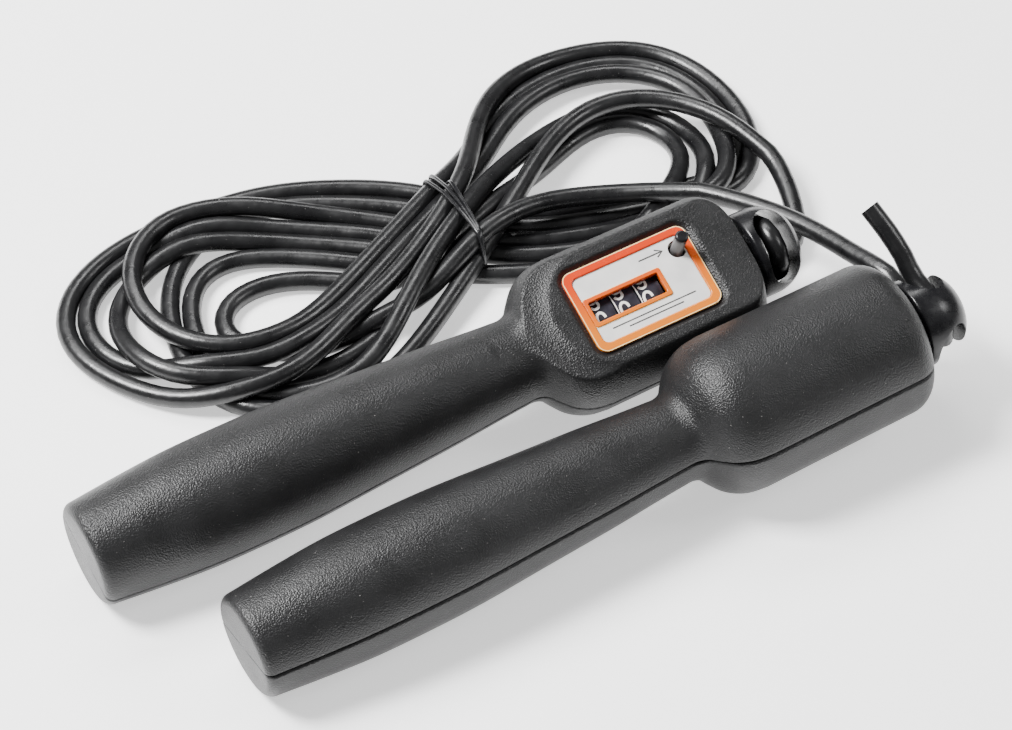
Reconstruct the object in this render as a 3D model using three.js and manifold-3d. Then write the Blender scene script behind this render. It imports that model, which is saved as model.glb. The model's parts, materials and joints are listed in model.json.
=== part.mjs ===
// A jump rope: two moulded handles with swivels, one of them with a revolution counter, and a
// PVC rope laid up as a tied figure-eight hank. Millimetres, +Z up, origin on the table under
// the middle of the two handles. Each handle is built in its own frame: x runs along its axis
// from the grip's end face to the swivel, z is up out of its parting plane.
import * as THREE from 'three';
import { mergeVertices } from 'three/addons/utils/BufferGeometryUtils.js';
import Module from 'manifold-3d';

const wasm = await Module();
wasm.setup();

// ---- driving dimensions -------------------------------------------------------------------
const GAP = 0.3;                 // clearance between neighbouring pieces
const WALL = 2;                  // shell wall
const GRIP_END_R = 12.95;
const BULGE_R = 15.1;
const NECK_R = 10.8;
const NECK_X = 115;              // thinnest place of the neck
const HEAD_R = 19.75;            // head radius just past the shoulder
const HEAD_END_R = 19.3;
const HEAD_X = 131;              // where the head reaches its full radius
const CORNER_R = 6.5;            // rounding of the head's end
const LENGTH_A = 176.5;          // handle with the counter
const LENGTH_B = 179;            // plain handle
const PITCH_DEG = 2.95;          // the thin grip end lies lower than the head
const AXIS_Z = 13.6;             // height of a handle's axis at its grip end
const PLACE_A = { x: -107.2, y: 19.8, yaw: 0, roll: 20 };
const PLACE_B = { x: -86.9, y: -22.4, yaw: 1.16, roll: -11.5 };

const FACET_Z = 12.2;            // flat top of the counter's head
const PLATE = { x: 147.8, length: 32, width: 22.2, corner: 2.6, bottom: 10, top: 11, band: 2.1 };
const BAND_TOP = 11.8;           // raised border and window rim of the plate
const WINDOW = { x: 144.35, y: -0.55, length: 18.7, width: 4.7, rim: 0.9 };
const LABEL = { bottom: 11.3, top: 11.6 };

const WHEEL_R = 8.6;
const WHEEL_Z = 1;
const WHEEL_PITCH = 6.5;
const WHEEL_FIRST_X = 134.9;     // left face of the hundreds wheel
const DRUM_WIDTH = 3.4;          // the part of a wheel that carries its numbers
const WHEEL_WIDTH = 6.1;
const WHEEL_TEETH = 20;
const GEAR_R = 7.9;
const TOOTH = 0.8;
const AXLE_R = 1.5;
const PINION = { y: 7.6, z: -7.1, outer: 2.4, teeth: 8, width: 3, axle: 0.6 };
const FRAME = { from: 131.9, to: 164, wallTo: 157, wall: 1.3, halfWidth: 12.3, low: -10.6, high: 9.7 };

const RIBS_X = [136, 150];       // ribs of the lower shell that the counter's frame stands on

const PIN = { x: 160.8, y: 5.6, r: 1.6, top: 18.4, foot: -1.5, hole: 2.2, collar: 6.7 };
const SHELF = { low: -0.6, high: 0.4 };           // seat of the pin's spring
const SPRING = { r: 2.5, wire: 0.35, turns: 3, from: 1.15, to: 6 };
const SHAFT_R = 3;
const CAM = { from: 164.2, to: 166.2, r: 4.6, offset: 0.8 };
const SHAFT_TO = 162.5;          // inner end of the counter's swivel shaft
const KNOB_GAP = 2;              // between a handle's end and its knob
const KNOB_LENGTH = 14;
const KNOB_R = 11.15;
const SLOT = { from: 2.2, width: 9, length: 19 };
const SPIN_A = 42;               // degrees that a slot faces away from straight up
const SPIN_B = 125;
const SCREWS = [[36, 0], [98, 0], [168.2, 11], [168.2, -11]];
const SCREW = { r: 1.4, headR: 2.6, headH: 1.8, bossR: 3.4, hole: 1.7, holeHead: 2.9 };

const ROPE_D = 5;
const LEAD_STEPS = 22;
const KNOT_STEPS = 24;
const HANK_H = 13;               // height of the loops lying on each other
const BUNDLE_H = 17;             // height of the tied run that crosses over them
const BUNDLE = { x: 20, y: 76.5, angle: 32, length: 76, width: 23 };
const TIE = { x: 23.5, y: 78.6, halfWidth: 11.8, low: 5.6, width: 3.2, depth: 1.2 };

// ---- materials ----------------------------------------------------------------------------
const material = (color, roughness, metalness = 0) =>
  new THREE.MeshStandardMaterial({ color, roughness, metalness });
const SHELL = material(0x303032, 0.6);
const GLOSS = material(0x141416, 0.25);
const ROPE = material(0x1c1c1e, 0.4);
const STEEL = material(0x9a9a9c, 0.35, 1);
const AMBER = material(0xd9631a, 0.3);
const PAPER = material(0xd4d3cf, 0.55);
const DARK = material(0x17171c, 0.5);
const NYLON = material(0xc9c6bb, 0.5);

// ---- solids -------------------------------------------------------------------------------
function toSolid(geometry) {
  const bare = geometry.clone();
  bare.deleteAttribute('normal');
  bare.deleteAttribute('uv');
  const merged = mergeVertices(bare, 1e-4);
  const index = merged.index.array;
  const p = merged.attributes.position;
  const a = new THREE.Vector3();
  const b = new THREE.Vector3();
  const c = new THREE.Vector3();
  const triangles = [];
  let volume = 0;
  for (let i = 0; i < index.length; i += 3) {
    const [u, v, w] = [index[i], index[i + 1], index[i + 2]];
    if (u === v || v === w || w === u) continue;
    triangles.push(u, v, w);
    a.fromBufferAttribute(p, u);
    b.fromBufferAttribute(p, v);
    c.fromBufferAttribute(p, w);
    volume += a.dot(b.cross(c));
  }
  if (volume < 0) triangles.reverse();
  return new wasm.Manifold(new wasm.Mesh({
    numProp: 3, vertProperties: new Float32Array(p.array), triVerts: new Uint32Array(triangles),
  }));
}

function toMesh(name, solid, look) {
  const data = solid.getMesh();
  const geometry = new THREE.BufferGeometry();
  geometry.setAttribute('position', new THREE.BufferAttribute(data.vertProperties, 3));
  geometry.setIndex(new THREE.BufferAttribute(data.triVerts, 1));
  geometry.computeVertexNormals();
  const mesh = new THREE.Mesh(geometry, look);
  mesh.name = name;
  return mesh;
}

const union = (...parts) => parts.reduce((sum, part) => sum.add(part));

// Turns a profile of [x, radius] points about the x axis.
function turned(profile, segments = 24) {
  const points = profile.map(([x, r]) => new THREE.Vector2(r, x));
  return toSolid(new THREE.LatheGeometry(points, segments).rotateZ(-Math.PI / 2));
}

// A rod along x, or a ring when a bore is given.
function rod(x0, x1, r, { y = 0, z = 0, bore = 0, segments = 14 } = {}) {
  const profile = bore > 0
    ? [[x0, bore], [x0, r], [x1, r], [x1, bore], [x0, bore]]
    : [[x0, 0], [x0, r], [x1, r], [x1, 0]];
  return turned(profile, segments).translate([0, y, z]);
}

// A rod along z, or a ring when a bore is given.
function post(x, y, z0, z1, r, { bore = 0, segments = 12 } = {}) {
  return rod(-z1, -z0, r, { bore, segments }).rotate([0, 90, 0]).translate([x, y, 0]);
}

function box(x0, x1, y0, y1, z0, z1) {
  const geometry = new THREE.BoxGeometry(x1 - x0, y1 - y0, z1 - z0);
  return toSolid(geometry.translate((x0 + x1) / 2, (y0 + y1) / 2, (z0 + z1) / 2));
}

function roundedRectangle(x, y, length, width, corner) {
  const [l, w, c] = [length / 2, width / 2, corner];
  const shape = new THREE.Shape();
  shape.moveTo(x - l + c, y - w);
  shape.absarc(x + l - c, y - w + c, c, -Math.PI / 2, 0);
  shape.absarc(x + l - c, y + w - c, c, 0, Math.PI / 2);
  shape.absarc(x - l + c, y + w - c, c, Math.PI / 2, Math.PI);
  shape.absarc(x - l + c, y - w + c, c, Math.PI, 1.5 * Math.PI);
  return shape;
}

function raised(shape, z0, z1, curveSegments = 4) {
  const options = { depth: z1 - z0, bevelEnabled: false, curveSegments };
  return toSolid(new THREE.ExtrudeGeometry(shape, options).translate(0, 0, z0));
}

const block = (x, y, length, width, corner, z0, z1) =>
  raised(roundedRectangle(x, y, length, width, corner), z0, z1);

// A toothed wheel between x0 and x1 with its axis along x.
function gear(x0, x1, root, tip, teeth, y, z) {
  const shape = new THREE.Shape();
  for (let i = 0; i < teeth * 4; i += 1) {
    const radius = i % 4 < 2 ? tip : root;
    const turn = (2 * Math.PI * i) / (teeth * 4);
    const at = [radius * Math.cos(turn), radius * Math.sin(turn)];
    if (i === 0) shape.moveTo(...at);
    else shape.lineTo(...at);
  }
  return raised(shape, x0, x1).rotate([0, 90, 0]).translate([0, y, z]);
}

// ---- the handles' shells ------------------------------------------------------------------
function outerProfile(length) {
  const corner = [];
  for (let i = 0; i <= 4; i += 1) {
    const turn = (i / 4) * (Math.PI / 2);
    const x = length - CORNER_R + CORNER_R * Math.sin(turn);
    corner.push([x, HEAD_END_R - CORNER_R + CORNER_R * Math.cos(turn)]);
  }
  return [
    [0, 0], [0, GRIP_END_R - 2], [0.6, GRIP_END_R - 0.6], [2, GRIP_END_R],
    [14, GRIP_END_R + 1.1], [26, BULGE_R - 0.2], [38, BULGE_R], [54, BULGE_R - 0.25],
    [74, BULGE_R - 1.5], [93, NECK_R + 1.6], [105, NECK_R + 0.6], [NECK_X, NECK_R],
    [117.4, NECK_R + 0.9], [119.5, NECK_R + 3.3], [122, NECK_R + 6],
    [124.5, HEAD_R - 1.4], [127, HEAD_R - 0.5], [HEAD_X, HEAD_R], ...corner, [length, 0],
  ];
}

function innerProfile(length) {
  return [
    [WALL, 0], [WALL, GRIP_END_R - WALL], [26, BULGE_R - 0.2 - WALL], [54, BULGE_R - 0.25 - WALL],
    [93, NECK_R + 1.6 - WALL], [NECK_X + 1, NECK_R - WALL], [126.5, HEAD_R - 1 - WALL],
    [HEAD_X, HEAD_R - WALL], [length - CORNER_R, HEAD_END_R - WALL],
    [length - 3.4, HEAD_END_R - 4.6], [length - 2.6, HEAD_END_R - 7.5], [length - 2.6, 0],
  ];
}

const FAR = 60;
const above = (z) => box(-5, 200, -FAR, FAR, z, FAR);
const below = (z) => box(-5, 200, -FAR, FAR, -FAR, z);

// The two mouldings of one handle, parted at z = 0 and screwed together from underneath.
function shells(length, withCounter) {
  let outer = turned(outerProfile(length));
  let hollow = turned(innerProfile(length));
  if (withCounter) {
    const facet = box(NECK_X + 1, 200, -FAR, FAR, FACET_Z, FAR);
    outer = outer.subtract(facet);
    hollow = hollow.intersect(below(FACET_Z - WALL));
  }
  const bosses = union(...SCREWS.map(([x, y]) => post(x, y, -FAR / 2, FAR / 2, SCREW.bossR)));
  const cavity = hollow.subtract(bosses);
  const endHole = rod(length - 5, length + 1, 5.3);
  const body = outer.subtract(cavity).subtract(endHole);
  let top = body.intersect(above(GAP / 2));
  let bottom = body.intersect(below(-GAP / 2));
  for (const [x, y] of SCREWS) {
    top = top.subtract(post(x, y, -1, 6.5, SCREW.hole, { segments: 10 }));
    bottom = bottom.subtract(post(x, y, -FAR / 2, 1, SCREW.hole, { segments: 10 }));
    bottom = bottom.subtract(post(x, y, -FAR / 2, -7, SCREW.holeHead, { segments: 12 }));
  }
  if (withCounter) {
    const { x, length: l, width: w, corner } = PLATE;
    top = top.subtract(block(x, 0, l + 2 * GAP, w + 2 * GAP, corner + GAP, 4, FACET_Z + 1));
    const ribs = RIBS_X.map((at) => box(at, at + 2, -7, 7, -17.9, FRAME.low - GAP));
    bottom = bottom.add(union(...ribs));
  }
  return { top, bottom };
}

function screw([x, y]) {
  const shank = post(x, y, -7 + GAP, 5.5, SCREW.r, { segments: 8 });
  const head = post(x, y, -7 - SCREW.headH, -7 - GAP, SCREW.headR, { segments: 12 });
  return union(shank, head, post(x, y, -7.5, -6, SCREW.r, { segments: 8 }));
}

// ---- the swivels --------------------------------------------------------------------------
const bush = (end) => union(
  rod(end - 2.3, end + 0.1, 5, { bore: SHAFT_R + 0.2 }),
  rod(end - 5, end - 2.6 - GAP, 6.6, { bore: SHAFT_R + 0.2 }),
  rod(end - 3.2, end - 2, 5, { bore: SHAFT_R + 0.2 }),
);
const washer = (end) => rod(end + 0.5, end + 1.6, 7.4, { bore: SHAFT_R + 0.2 });
const clip = (end) => rod(end - 6.3, end - 5.3, 4.6, { bore: SHAFT_R - 0.5 })
  .subtract(box(end - 7, end - 5, -1.8, 1.8, 0, 6));

// The knob is domed, with a long slot right through it that the rope is knotted in.
function swivel(end, shaftFrom) {
  const base = end + KNOB_GAP;
  const dome = [[base, 0], [base, KNOB_R - 0.7], [base + 0.7, KNOB_R]];
  for (let i = 0; i < 6; i += 1) {
    const turn = (i / 6) * (Math.PI / 2);
    dome.push([base + 4.4 + (KNOB_LENGTH - 4.4) * Math.sin(turn), KNOB_R * Math.cos(turn) ** 0.72]);
  }
  dome.push([base + KNOB_LENGTH, 0]);
  const half = SLOT.length / 2;
  const r = SLOT.width / 2;
  const slotX = base + SLOT.from + r;
  const mouth = roundedRectangle(slotX, 0, SLOT.width, 2 * half, r - 0.01);
  const slot = raised(mouth, -FAR / 2, FAR / 2);
  const groove = rod(end - 6.5, end - 5.1, 6, { bore: SHAFT_R - 0.8 });
  const shaft = rod(shaftFrom, base + 1, SHAFT_R).subtract(groove);
  return union(turned(dome).subtract(slot), shaft);
}

// An eccentric ring on the counter's shaft that rocks the count lever.
const driveCam = () => rod(CAM.from, CAM.to, CAM.r, { y: CAM.offset })
  .subtract(rod(CAM.from - 1, CAM.to + 1, SHAFT_R + GAP));

// ---- the counter --------------------------------------------------------------------------
function counterPlate() {
  const { x, length, width, corner, bottom, top, band } = PLATE;
  const slab = block(x, 0, length, width, corner, bottom, BAND_TOP);
  const inset = block(x, 0, length - 2 * band, width - 2 * band, corner - 1, top, BAND_TOP + 1);
  const outerRim = [WINDOW.length + 2 * WINDOW.rim, WINDOW.width + 2 * WINDOW.rim];
  const rim = block(WINDOW.x, WINDOW.y, ...outerRim, 0.4, top - 0.2, BAND_TOP);
  const opening = block(WINDOW.x, WINDOW.y, WINDOW.length, WINDOW.width, 0.4, 0, FAR);
  const pinHole = post(PIN.x, PIN.y, 0, 20, PIN.hole);
  return slab.subtract(inset).add(rim).subtract(opening).subtract(pinHole);
}

function counterLabel() {
  const { x, length, width, corner, band } = PLATE;
  const size = [length - 2 * band - 2 * GAP, width - 2 * band - 2 * GAP];
  const sheet = block(x, 0, ...size, corner - 1.3, LABEL.bottom, LABEL.top);
  const rim = 2 * (WINDOW.rim + GAP);
  const opening = block(WINDOW.x, WINDOW.y, WINDOW.length + rim, WINDOW.width + rim, 0.6, 0, FAR);
  return sheet.subtract(opening).subtract(post(PIN.x, PIN.y, 0, 20, PIN.hole));
}

function counterFrame() {
  const { from, to, wallTo, wall, halfWidth: w, low, high } = FRAME;
  const leftWall = box(from, from + wall, -w, w, low, high);
  const rightWall = box(wallTo - wall, wallTo, -w, w, low, high);
  const base = box(from, wallTo, -w, w, low, low + 1);
  const deck = box(from, to, -w, w, high - 1.3, high);
  const wheelWindow = box(from + wall, wallTo - wall, -6.6, 5.6, 0, FAR);
  const barPath = box(134, 170, 8.4, FAR, -5, high - 1.3 - GAP);
  const shelfEnd = SHAFT_TO - GAP;
  const shelf = box(wallTo - 0.5, shelfEnd, PIN.y - 3, PIN.y + 2.7, SHELF.low, SHELF.high);
  return union(leftWall, rightWall, base, deck, shelf)
    .subtract(wheelWindow)
    .subtract(barPath)
    .subtract(post(PIN.x, PIN.y, -2, 20, PIN.hole))
    .subtract(rod(120, 170, AXLE_R + 0.15, { y: WINDOW.y, z: WHEEL_Z }))
    .subtract(rod(120, 170, PINION.axle + 0.15, { y: PINION.y, z: PINION.z, segments: 10 }));
}

const wheelX = (i) => WHEEL_FIRST_X + i * WHEEL_PITCH;

function wheel(i) {
  const x = wheelX(i);
  const drum = rod(x, x + DRUM_WIDTH, WHEEL_R, { y: WINDOW.y, z: WHEEL_Z, segments: 24 });
  const teeth = gear(
    x + DRUM_WIDTH - 0.2, x + WHEEL_WIDTH, GEAR_R - TOOTH, GEAR_R, WHEEL_TEETH, WINDOW.y, WHEEL_Z,
  );
  const bore = rod(x - 1, x + 8, AXLE_R + 0.2, { y: WINDOW.y, z: WHEEL_Z });
  return union(drum, teeth).subtract(bore);
}

function pinion(i) {
  const x = wheelX(i) + WHEEL_WIDTH - PINION.width / 2;
  const { outer, teeth: count, width, y, z } = PINION;
  const teeth = gear(x, x + width, outer - TOOTH, outer, count, y, z);
  const at = { y, z, segments: 10 };
  return teeth.subtract(rod(x - 1, x + 5, PINION.axle + 0.2, at));
}

const wheelAxle = () => rod(FRAME.from - 0.6, FRAME.wallTo + 0.6, AXLE_R, { y: WINDOW.y, z: WHEEL_Z });
const pinionAxle = () => rod(FRAME.from - 0.6, FRAME.wallTo + 0.6, PINION.axle, {
  y: PINION.y, z: PINION.z, segments: 10,
});

function resetPin() {
  const { x, y, r, top, foot, collar } = PIN;
  const stem = post(x, y, foot, top - 0.5, r);
  const crown = post(x, y, top - 0.6, top, r - 0.4);
  const rim = post(x, y, collar, collar + 1.3, r + 1.3);
  return union(stem, crown, rim);
}

// The bar that the pin pushes down beside the wheels, with one finger for each of them.
function resetBar() {
  const y0 = 9;
  const bar = box(136, PIN.x + 2, y0, y0 + 1.6, -1.4, 0.6);
  const foot = box(PIN.x - 2, PIN.x + 2, PIN.y - 1.8, y0 + 0.2, -3.4, PIN.foot - GAP);
  const riser = box(PIN.x - 2, PIN.x + 2, y0, y0 + 1.6, -3.4, 0.6);
  const fingers = [0, 1, 2].map((i) => box(wheelX(i) + 0.8, wheelX(i) + 2.2, 8.5, y0 + 0.2, -1.4, 0.6));
  return union(bar, foot, riser, ...fingers);
}

class Helix extends THREE.Curve {
  getPoint(t, target = new THREE.Vector3()) {
    const turn = 2 * Math.PI * SPRING.turns * t;
    const z = SPRING.from + (SPRING.to - SPRING.from) * t;
    return target.set(PIN.x + SPRING.r * Math.cos(turn), PIN.y + SPRING.r * Math.sin(turn), z);
  }
}

function tube(curve, radius, steps, sides) {
  const section = new THREE.Shape();
  for (let i = 0; i < sides; i += 1) {
    const turn = (2 * Math.PI * i) / sides;
    const at = [radius * Math.cos(turn), radius * Math.sin(turn)];
    if (i === 0) section.moveTo(...at);
    else section.lineTo(...at);
  }
  return toSolid(new THREE.ExtrudeGeometry(section, { steps, extrudePath: curve }));
}

// A rocking pawl that the cam pushes once a turn to step the units wheel.
function countLever() {
  const pivotRing = rod(158.6, 162.4, 2, { y: -11, z: -7, segments: 12 });
  const arm = box(160.4, 162.4, -10.6, -6.6, -8, -1);
  const tip = box(158.6, 165.4, -8.2, -6.6, -2.4, 3.4);
  return union(pivotRing, arm, tip).subtract(rod(150, 170, 1.1, { y: -11, z: -7, segments: 10 }));
}

const leverPin = () => rod(157.4, 163.4, 0.8, { y: -11, z: -7, segments: 10 });

// ---- the rope -----------------------------------------------------------------------------
// Free stretches, from the swivel to the hank.
const LEAD_A = [
  [78.36, 22.41, 11.3], [78.45, 23.96, 9.67], [78.9, 25.6, 6], [81.6, 27.2, 4.2], [86, 29.2, 3.4], [91.5, 31.4, 3.5],
  [96.2, 34.6, 4.2], [99.3, 39.1, 5], [101.3, 44.4, 6], [103, 51, 7], [103.9, 58.6, 8],
];
const LEAD_B = [
  [98.68, -6.63, 24.41], [98.28, -4.09, 26.41], [98.8, -0.6, 26.6], [97.9, 3.8, 24.8], [97, 9, 22.8], [95.4, 15.4, 21.2],
  [94, 22.4, 20], [92, 29.5, 19], [89, 35.5, 18], [84.4, 43.6, 16], [78.2, 52.2, 13.8],
];
const HANK_OUTLINE = [
  [25, 94], [15, 101], [6, 110], [-14, 119], [-42, 121], [-63, 116], [-79, 105], [-84, 92],
  [-79, 74], [-70, 62], [-50, 51], [-32, 45], [-14, 47], [6, 56], [26, 61], [51, 58], [78, 57],
  [95, 58], [106, 68], [111, 82], [107, 97], [94, 111], [73, 116], [53, 110], [38, 101],
];
const LEFT_EYE = [[-36, 84], [-17, 83], [-4, 78], [-18, 70], [-31, 67], [-45, 70], [-47, 78]];
const RIGHT_EYE = [
  [57, 80], [67, 84], [77, 85], [84, 80], [85, 72], [79, 65], [66, 63], [50, 68], [46, 75],
];

const curveThrough = (points) => new THREE.CatmullRomCurve3(
  points.map(([x, y, z = 0]) => new THREE.Vector3(x, y, z)), points[0].length < 3, 'centripetal',
);
const loopShape = (points, count) => new THREE.Shape(
  curveThrough(points).getPoints(count).slice(0, -1).map(({ x, y }) => new THREE.Vector2(x, y)),
);

function hank() {
  const outline = loopShape(HANK_OUTLINE, 56);
  outline.holes.push(loopShape(LEFT_EYE, 20), loopShape(RIGHT_EYE, 20));
  const loops = raised(outline, 0, HANK_H);
  const { x, y, angle, length, width } = BUNDLE;
  const bundle = block(0, 0, length, width, width / 2 - 0.1, 1, BUNDLE_H)
    .rotate([0, 0, angle]).translate([x, y, 0]);
  return loops.add(bundle).subtract(tieRing(GAP));
}

// The band round the tied run: a flat ring whose axis lies along the run.
function tieRing(grow) {
  const { x, y, halfWidth, low, width, depth } = TIE;
  const high = BUNDLE_H + GAP;
  const tall = high - low;
  const reach = 2 * (depth + grow);
  const outside = block(0, 0, tall + reach, 2 * halfWidth + reach, 4 + grow,
    -width / 2 - grow, width / 2 + grow);
  const inside = block(0, 0, tall - 2 * grow, 2 * (halfWidth - grow), 3, -FAR, FAR);
  return outside.subtract(inside).rotate([0, 90, 0]).rotate([0, 0, BUNDLE.angle])
    .translate([x, y, (low + high) / 2]);
}

const lead = (points) => tube(curveThrough(points), ROPE_D / 2, LEAD_STEPS, 8);

// Knots lie in the knobs' slots, in a frame with x along the axis from the knob's base and z
// out of the slot's mouth.
const KNOT_A = [
  [6.7, -6, -10.2], [6.7, -6.2, -3], [6.7, -5.6, 2.6], [6.7, -3, 5.6], [6.7, 0, 6.4], [6.7, 3, 5.6],
  [6.7, 5.6, 2.6], [6.7, 6.2, -3], [6.7, 6, -7],
];
const KNOT_B = [
  [5.2, -5.9, -10.2], [5.6, -6.2, -5], [6.3, -6, 1], [6.7, -3.2, 5.2], [6.7, 0, 6.2], [6.7, 3.2, 5.2],
  [6.7, 5.9, 1.5], [6.7, 6, -4], [6.3, 5.2, -10], [5.6, 4, -17], [4.2, 3.6, -24], [2.3, 4.8, -30],
];

// ---- assembly -----------------------------------------------------------------------------
const rad = THREE.MathUtils.degToRad;

function poseGroup({ x, y, yaw }) {
  const group = new THREE.Group();
  group.position.set(x, y, AXIS_Z);
  group.rotation.set(0, -rad(PITCH_DEG), rad(yaw), 'ZYX');
  return group;
}

function rolled(degrees, meshes) {
  const group = new THREE.Group();
  group.rotation.x = rad(degrees);
  group.add(...meshes);
  return group;
}

function fasteners(letter) {
  return SCREWS.map((place, i) => toMesh(`screw_${letter}_${i + 1}`, screw(place), STEEL));
}

function handle(letter, place, length, spin, shaftFrom, knot, counter, onShaft) {
  const { top, bottom } = shells(length, counter.length > 0);
  const knotTube = tube(curveThrough(knot), ROPE_D / 2 - 0.1, KNOT_STEPS, 8);
  const knotSolid = knotTube.translate([length + KNOB_GAP, 0, 0]);
  const group = poseGroup(place);
  group.add(
    rolled(place.roll, [
      toMesh(`shell_top_${letter}`, top, SHELL),
      toMesh(`shell_bottom_${letter}`, bottom, SHELL),
      ...fasteners(letter),
      ...counter,
    ]),
    rolled(spin, [
      toMesh(`swivel_${letter}`, swivel(length, shaftFrom), GLOSS),
      toMesh(`rope_knot_${letter}`, knotSolid, ROPE),
      toMesh(`clip_${letter}`, clip(length), STEEL),
      toMesh(`bush_${letter}`, bush(length), NYLON),
      toMesh(`washer_${letter}`, washer(length), STEEL),
      ...onShaft,
    ]),
  );
  return group;
}

const counter = [
  toMesh('counter_plate', counterPlate(), AMBER),
  toMesh('counter_label', counterLabel(), PAPER),
  toMesh('counter_frame', counterFrame(), NYLON),
  toMesh('wheel_axle', wheelAxle(), STEEL),
  toMesh('pinion_axle', pinionAxle(), STEEL),
  toMesh('reset_pin', resetPin(), STEEL),
  toMesh('reset_bar', resetBar(), NYLON),
  toMesh('reset_spring', tube(new Helix(), SPRING.wire, 36, 5), STEEL),
  toMesh('count_lever', countLever(), NYLON),
  toMesh('lever_pin', leverPin(), STEEL),
  ...['wheel_hundreds', 'wheel_tens', 'wheel_units'].map((name, i) => toMesh(name, wheel(i), DARK)),
  ...['transfer_pinion_1', 'transfer_pinion_2'].map((name, i) => toMesh(name, pinion(i), NYLON)),
];

const group = new THREE.Group();
group.add(
  handle('a', PLACE_A, LENGTH_A, SPIN_A, SHAFT_TO, KNOT_A, counter, [toMesh('drive_cam', driveCam(), NYLON)]),
  handle('b', PLACE_B, LENGTH_B, SPIN_B, LENGTH_B - 9, KNOT_B, [], []),
  toMesh('rope_lead_a', lead(LEAD_A), ROPE),
  toMesh('rope_lead_b', lead(LEAD_B), ROPE),
  toMesh('rope_hank', hank(), ROPE),
  toMesh('hank_tie', tieRing(0), GLOSS),
);

export default group;
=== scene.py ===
"""The looks of a jump rope: two handles with swivels, one with a counter, and a tied hank of rope."""
import json
import math

import bmesh
import bpy
import numpy as np
from mathutils import Matrix, Vector


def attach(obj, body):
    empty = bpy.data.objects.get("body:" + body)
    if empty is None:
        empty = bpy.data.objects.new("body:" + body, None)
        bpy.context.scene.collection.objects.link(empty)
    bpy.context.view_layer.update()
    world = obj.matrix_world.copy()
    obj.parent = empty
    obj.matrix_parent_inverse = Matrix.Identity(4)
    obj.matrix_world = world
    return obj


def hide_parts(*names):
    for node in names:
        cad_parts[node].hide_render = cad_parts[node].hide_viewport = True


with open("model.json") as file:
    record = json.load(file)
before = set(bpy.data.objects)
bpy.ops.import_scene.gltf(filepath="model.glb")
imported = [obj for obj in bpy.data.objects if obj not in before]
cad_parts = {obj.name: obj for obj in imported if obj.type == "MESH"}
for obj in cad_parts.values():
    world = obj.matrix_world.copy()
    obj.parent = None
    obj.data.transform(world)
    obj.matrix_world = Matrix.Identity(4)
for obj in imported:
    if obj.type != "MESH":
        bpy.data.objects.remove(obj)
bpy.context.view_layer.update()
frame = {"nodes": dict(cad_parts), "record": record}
MM = 0.001

# ---- where the two handles lie --------------------------------------------------------------
PITCH = 2.95
AXIS_Z = 13.6


def handle_frame(x, y, yaw, roll):
    """Millimetres in a handle's own frame to metres in the row frame."""
    turn = (Matrix.Rotation(math.radians(yaw), 4, "Z") @ Matrix.Rotation(math.radians(-PITCH), 4, "Y")
            @ Matrix.Rotation(math.radians(roll), 4, "X"))
    return Matrix.Scale(MM, 4) @ Matrix.Translation((x, y, AXIS_Z)) @ turn


PLACE_A = (-107.2, 19.8, 0.0)
PLACE_B = (-86.9, -22.4, 1.16)
ROLL_A, ROLL_B = 20, -11.5
SPIN_A, SPIN_B = 42, 125
SHELL_A, SHELL_B = handle_frame(*PLACE_A, ROLL_A), handle_frame(*PLACE_B, ROLL_B)
KNOB_A, KNOB_B = handle_frame(*PLACE_A, SPIN_A), handle_frame(*PLACE_B, SPIN_B)
LENGTH_A, LENGTH_B = 176.5, 179.0
KNOB_GAP = 2.0

# ---- camera ---------------------------------------------------------------------------------
TARGET = Vector((8.69, 26.8, 10.8)) * MM
ELEVATION, AZIMUTH, DISTANCE = math.radians(48), math.radians(-29.05), 1.0
LENS, SENSOR = 146.56, 36
back = Vector((math.sin(AZIMUTH) * math.cos(ELEVATION), -math.cos(AZIMUTH) * math.cos(ELEVATION),
               math.sin(ELEVATION)))
camera = bpy.data.objects.new("camera", bpy.data.cameras.new("camera"))
bpy.context.scene.collection.objects.link(camera)
camera.data.lens = LENS
camera.data.sensor_width = SENSOR
camera.location = TARGET + back * DISTANCE
camera.rotation_euler = back.to_track_quat("Z", "Y").to_euler()
bpy.context.scene.camera = camera

# ---- the rope's route, millimetres ----------------------------------------------------------
ROPE_D = 5.0
STEP = 3.5
KNOT_A = [
    [6.7, 6, -7], [6.7, 6.2, -3], [6.7, 5.6, 2.6], [6.7, 3, 5.6], [6.7, 0, 6.4], [6.7, -3, 5.6],
    [6.7, -5.6, 2.6], [6.7, -6.2, -3], [6.7, -6, -10.2],
]
LEAD_A = [
    [78.36, 22.41, 11.3], [78.45, 23.96, 9.67], [78.9, 25.6, 6], [81.6, 27.2, 4.2], [86, 29.2, 3.4],
    [91.5, 31.4, 3.5], [96.2, 34.6, 4.2], [99.3, 39.1, 5], [101.3, 44.4, 6], [103, 51, 7],
    [103.9, 58.6, 8],
]
RIGHT_LOBE_A = [
    [102, 67, 10], [99, 77, 12], [94, 84, 12.5], [88, 89, 13], [81, 92, 13], [73, 93, 13],
    [64, 91, 13], [54, 86, 13], [45, 81, 13], [37, 76, 13], [29, 71.5, 12.5], [22, 66.5, 12],
    [10, 58.5, 10.5], [-2, 50, 9], [-14, 43.5, 7],
]
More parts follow.
